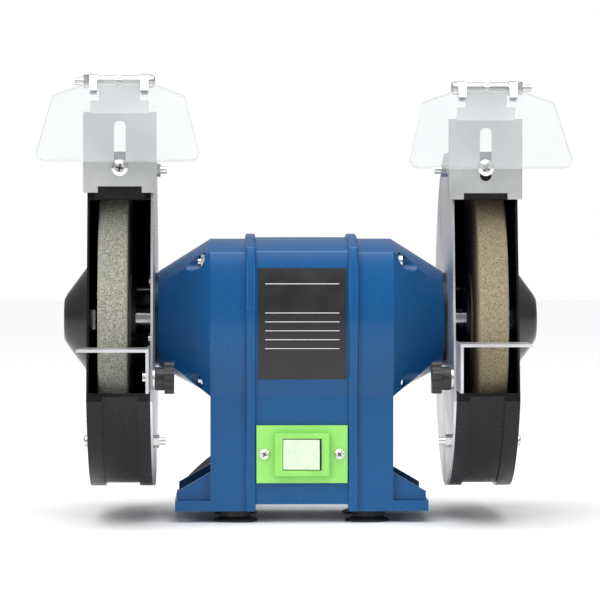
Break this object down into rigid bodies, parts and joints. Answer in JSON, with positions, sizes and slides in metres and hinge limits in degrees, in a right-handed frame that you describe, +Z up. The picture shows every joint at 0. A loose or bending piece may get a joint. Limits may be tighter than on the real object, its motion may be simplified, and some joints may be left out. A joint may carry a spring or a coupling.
{
  "type": "bench grinder",
  "caption": "Bench grinder with a wheel, guard, tool rest, spark arrester and clear eye shield at each end of a cast motor housing on rubber feet",
  "frame": {"origin": "on the bench surface, under the middle of the machine's box without its lead", "axes": "+X along the spindle to the machine's right-hand wheel as the user sees it, -Y towards the user, +Z up"},
  "size_m": [0.359, 0.3851, 0.3095],
  "materials": {
    "body_blue": "glossy enamel on castings",
    "guard_black": "gloss black enamel on pressed steel",
    "zinc_sheet": "bright zinc plate",
    "fastener_zinc": "bright zinc plated fasteners",
    "bare_steel": "ground steel",
    "laminations": "stacked electrical steel",
    "copper_windings": "varnished copper wire",
    "foot_rubber": "soft black rubber",
    "switch_green": "moulded light green plastic",
    "switch_black": "moulded black plastic",
    "rocker_clear": "pale green translucent plastic",
    "label_black": "printed black plate, kept blank",
    "knob_black": "moulded black plastic",
    "shield_clear": "clear polycarbonate sheet",
    "wheel_grey": "coarse grey abrasive",
    "wheel_tan": "fine tan abrasive",
    "blotter_card": "compressed card",
    "cord_black": "black sheathed cable",
    "capacitor_white": "plastic can"
  },
  "bodies": {
    "frame": {"centre_housing": "body_blue", "left_end_casting": "body_blue", "right_end_casting": "body_blue", "left_guard_drum": "guard_black", "right_guard_drum": "guard_black", "left_guard_cover": "guard_black", "right_guard_cover": "guard_black", "guard_collars": "guard_black", "left_guard_plate": "zinc_sheet", "right_guard_plate": "zinc_sheet", "capacitor_clip": "zinc_sheet", "bottom_cover": "zinc_sheet", "motor_bolts": "fastener_zinc", "foot_screws": "fastener_zinc", "cover_screws": "fastener_zinc", "switch_screws": "fastener_zinc", "guard_bolts": "fastener_zinc", "guard_screws": "fastener_zinc", "rest_bolts": "fastener_zinc", "rest_washers": "fastener_zinc", "arrester_screws": "fastener_zinc", "bearing_outer_rings": "bare_steel", "stator_core": "laminations", "stator_windings": "copper_windings", "rubber_feet": "foot_rubber", "switch_plate": "switch_green", "switch_body": "switch_black", "terminal_block": "switch_black", "rating_label": "label_black", "power_cord": "cord_black", "cord_coil": "cord_black", "power_plug": "cord_black", "cord_gland": "cord_black", "run_capacitor": "capacitor_white"},
    "spindle": {"shaft": "bare_steel", "rotor_core": "laminations", "bearing_inner_rings": "bare_steel", "bearing_balls": "bare_steel", "left_grinding_wheel": "wheel_grey", "right_grinding_wheel": "wheel_tan", "wheel_blotters": "blotter_card", "wheel_flanges": "bare_steel", "arbor_nuts": "fastener_zinc"},
    "rocker": {"switch_rocker": "rocker_clear"},
    "left_rest": {"left_tool_rest": "zinc_sheet"},
    "left_knob": {"left_rest_knob": "knob_black"},
    "left_arrester": {"left_spark_arrester": "zinc_sheet", "left_hinge_bolt": "fastener_zinc", "left_hinge_nut": "fastener_zinc"},
    "left_shield": {"left_eye_shield": "shield_clear", "left_shield_clips": "zinc_sheet"},
    "right_rest": {"right_tool_rest": "zinc_sheet"},
    "right_knob": {"right_rest_knob": "knob_black"},
    "right_arrester": {"right_spark_arrester": "zinc_sheet", "right_hinge_bolt": "fastener_zinc", "right_hinge_nut": "fastener_zinc"},
    "right_shield": {"right_eye_shield": "shield_clear", "right_shield_clips": "zinc_sheet"}
  },
  "joints": [
    {"name": "spindle_spin", "type": "hinge", "parent": "frame", "child": "spindle", "pos_m": [0, 0.0121, 0.14], "axis": [1, 0, 0], "continuous": true},
    {"name": "rocker_tilt", "type": "hinge", "parent": "frame", "child": "rocker", "pos_m": [0, -0.0449, 0.048], "axis": [0, 0, 1], "range_deg": [0, 14]},
    {"name": "left_rest_slide", "type": "slide", "parent": "frame", "child": "left_rest", "axis": [0, -1, 0], "range_m": [0, 0.012]},
    {"name": "left_knob_turn", "type": "hinge", "parent": "frame", "child": "left_knob", "pos_m": [-0.092, -0.0759, 0.102], "axis": [1, 0, 0], "range_deg": [0, 180]},
    {"name": "left_arrester_slide", "type": "slide", "parent": "frame", "child": "left_arrester", "axis": [0, 0, -1], "range_m": [0, 0.024]},
    {"name": "left_shield_tilt", "type": "hinge", "parent": "left_arrester", "child": "left_shield", "pos_m": [-0.125, -0.0839, 0.3045], "axis": [-1, 0, 0], "range_deg": [-27, 60]},
    {"name": "right_rest_slide", "type": "slide", "parent": "frame", "child": "right_rest", "axis": [0, -1, 0], "range_m": [0, 0.012]},
    {"name": "right_knob_turn", "type": "hinge", "parent": "frame", "child": "right_knob", "pos_m": [0.092, -0.0759, 0.102], "axis": [1, 0, 0], "range_deg": [0, 180]},
    {"name": "right_arrester_slide", "type": "slide", "parent": "frame", "child": "right_arrester", "axis": [0, 0, -1], "range_m": [0, 0.024]},
    {"name": "right_shield_tilt", "type": "hinge", "parent": "right_arrester", "child": "right_shield", "pos_m": [0.125, -0.0839, 0.2999], "axis": [-1, 0, 0], "range_deg": [-27, 60]}
  ]
}
